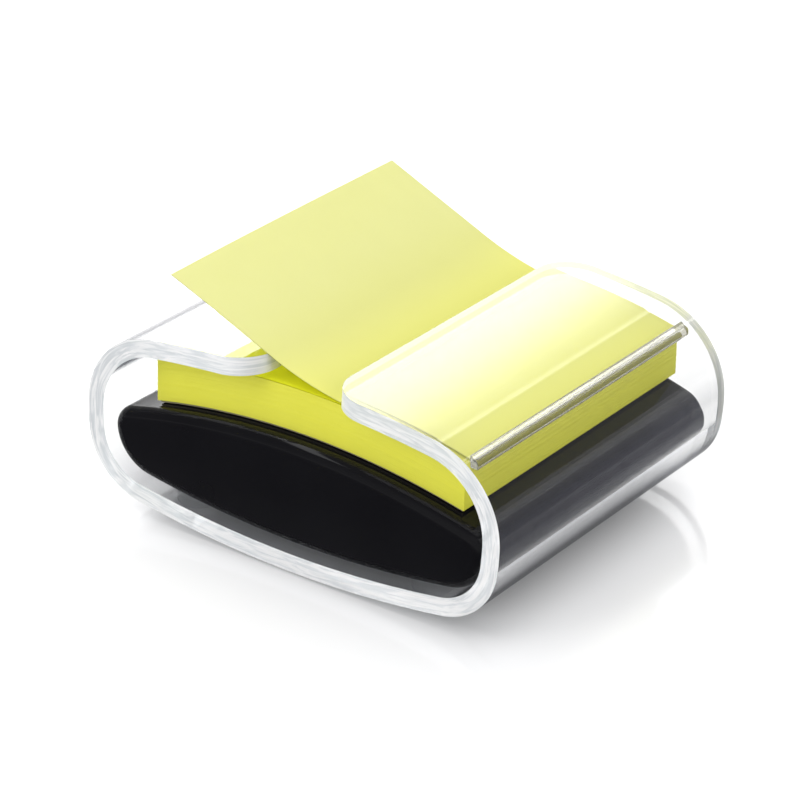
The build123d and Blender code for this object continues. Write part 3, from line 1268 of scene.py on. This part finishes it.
    def build_leaf(self) -> bpy.types.Object:
        """Curl the standing note up out of the slot, with its near free corner drooping a little.

        Returns:
            The standing note.
        """
        inner = self.bend_radius - self.note_thickness / 2
        bend = ArcRun(self.bend, inner, -math.pi / 2 - self.leaf_slope, self.leaf_slope - self.leaf_start)
        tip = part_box("popped_note")[0].x
        rest = bend.at(0.0)
        run = (rest[0] - tip) / math.cos(self.leaf_slope)
        free = StraightRun((tip, rest[1] + run * math.sin(self.leaf_slope)), rest)
        line = SectionLine((free, bend))
        stations = line.stations(self.step, self.leaf_turn)
        leaf = roll_sheet("standing_note", line, stations, self.whole_depth, self.leaf_rows)
        for vertex in leaf.data.vertices:
            out = max((rest[0] - vertex.co.x) / (rest[0] - tip), 0.0)
            near = (self.back - vertex.co.y) / (self.back - self.front)
            vertex.co.z -= self.leaf_droop * out**2 * near**3
        apply_modifier(leaf, "SOLIDIFY", thickness=self.note_thickness, offset=-1)
        smooth(leaf)
        LEAF_PAPER.paint(leaf)
        return settle(leaf, Body.NOTE, NOTE_PAPER.name, "popped_note")

    def build(self) -> None:
        """Build the card, the stack, the next note and the standing note."""
        self.build_card()
        self.build_stack()
        self.build_next()
        self.build_tail()
        self.build_leaf()


# Studio


def direction(azimuth: float, elevation: float) -> Point:
    """Unit vector that looks back from the front, turned to the left and up, in radians."""
    level = math.cos(elevation)
    return (-math.sin(azimuth) * level, math.cos(azimuth) * level, math.sin(elevation))


@dataclass
class Softbox:
    """A soft rectangular lamp that points at the object."""

    name: str
    place: Point
    size: Tuple[float, float]
    power: float
    mirrored: bool = False

    def build(self) -> None:
        """Hang the lamp, left out of reflections unless it is to be mirrored."""
        lamp = bpy.data.lights.new(self.name, "AREA")
        lamp.shape = "RECTANGLE"
        lamp.size, lamp.size_y = self.size
        lamp.energy = self.power
        box = bpy.data.objects.new(self.name, lamp)
        box.location = self.place
        box.rotation_euler = (-Vector(self.place)).to_track_quat("-Z", "Y").to_euler()
        box.visible_glossy = self.mirrored
        bpy.context.scene.collection.objects.link(box)


@dataclass
class Surround:
    """White to the camera; else pale behind and in front, dim at the sides, with a soft glow behind."""

    azimuth: float
    side: float = 0.17
    front: float = 0.65
    back: float = 0.75
    reach: Reach = (0.2, 0.7)
    glow_azimuth: float = 0.7
    glow_elevation: float = 0.41
    glow_inner: float = 0.12
    glow_outer: float = 0.34
    glow_level: float = 3.6

    def facing(self, bench: NodeBench, aim: Point) -> Signal:
        """Cosine of the angle between a ray and a direction."""
        inputs = {0: bench.coordinates("Generated"), 1: aim}
        return bench.signal("ShaderNodeVectorMath", {"operation": "DOT_PRODUCT"}, inputs, "Value")

    def build(self) -> None:
        """Build the world round the stage."""
        world = bpy.data.worlds.new("studio_surround")
        bpy.context.scene.world = world
        world.use_nodes = True
        bench = NodeBench(world.node_tree)
        behind = self.facing(bench, direction(self.azimuth, 0.0))
        pale = self.side + (self.back - self.side) * behind.eased(*self.reach)
        pale = pale + (self.front - self.side) * (-behind).eased(*self.reach)
        glow = self.facing(bench, direction(self.glow_azimuth, self.glow_elevation))
        glow = glow.eased(math.cos(self.glow_outer), math.cos(self.glow_inner))
        seen = bench.ray(Ray.CAMERA)
        level = (pale + self.glow_level * glow) * (1 - seen) + seen
        light = bench.signal("ShaderNodeBackground", None, {"Color": WHITE, "Strength": level})
        bench.close(light, "ShaderNodeOutputWorld")


@dataclass
class PhotoCamera:
    """The camera at the photograph's view, with its angles in radians and its lens in millimetres."""

    azimuth: float = 0.60398
    elevation: float = 0.46097
    roll: float = 0.03376
    distance: float = 0.69825
    aim: Place = (-0.00111, 0.01948)
    foot_lift: float = 0.0004
    lens: float = 149.58
    sensor: float = 36.0
    clip: Reach = (0.01, 50.0)

    def build(self) -> None:
        """Place the camera and make it the scene's."""
        right = Vector((math.cos(self.azimuth), math.sin(self.azimuth), 0))
        ahead = Vector(direction(self.azimuth, -self.elevation))
        up = right.cross(ahead)
        tilted = math.cos(self.roll) * right + math.sin(self.roll) * up
        upright = math.cos(self.roll) * up - math.sin(self.roll) * right
        eye = self.aim[0] * tilted + self.aim[1] * upright - self.distance * ahead
        eye.z += self.foot_lift
        lens = bpy.data.cameras.new("photo_camera")
        lens.lens, lens.sensor_width = self.lens, self.sensor
        lens.clip_start, lens.clip_end = self.clip
        camera = bpy.data.objects.new("photo_camera", lens)
        turned = Matrix((tilted, upright, -ahead)).transposed()
        camera.matrix_world = Matrix.Translation(eye) @ turned.to_4x4()
        bpy.context.scene.collection.objects.link(camera)
        bpy.context.scene.camera = camera


@dataclass
class Studio:
    """Floor, surround, lamps and camera."""

    floor_side: float = 6.0
    bounces: int = 40
    lamps: Tuple[Softbox, ...] = (
        Softbox("overhead_softbox", place=(-0.2, 0.1, 1.3), size=(1.8, 1.8), power=12.4),
        Softbox("corner_strip", place=(0.31, 1.1, 1.0), size=(0.05, 1.4), power=0.6, mirrored=True),
        Softbox("edge_strip", place=(-0.6, -0.02, 1.0), size=(1.2, 0.12), power=1.7, mirrored=True),
        Softbox("front_softbox", place=(-0.7, -1.1, 0.8), size=(0.9, 0.9), power=10.8),
        Softbox("side_softbox", place=(1.2, -0.1, 0.8), size=(0.8, 0.8), power=5.4),
    )

    def build_floor(self) -> None:
        """Lay the floor."""
        start_alone()
        bpy.ops.mesh.primitive_plane_add(size=self.floor_side)
        floor = bpy.context.object
        floor.name = STUDIO_FLOOR.name
        STUDIO_FLOOR.paint(floor)

    def build(self) -> None:
        """Build the stage, and set the plain view transform and enough bounces for clear plastic."""
        self.build_floor()
        camera = PhotoCamera()
        Surround(camera.azimuth).build()
        for lamp in self.lamps:
            lamp.build()
        camera.build()
        scene = bpy.context.scene
        scene.view_settings.view_transform = "Standard"
        scene.cycles.max_bounces = self.bounces
        scene.cycles.glossy_bounces = self.bounces
        scene.cycles.transmission_bounces = self.bounces


def main() -> None:
    """Build the dispenser and its stage."""
    logging.basicConfig(level=logging.INFO, format="%(name)s: %(message)s")
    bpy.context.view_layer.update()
    for assembly in (ClearWrap(), WeightedBase(), NotePad()):
        assembly.build()
    Studio().build()


if __name__ == "__main__":
    main()
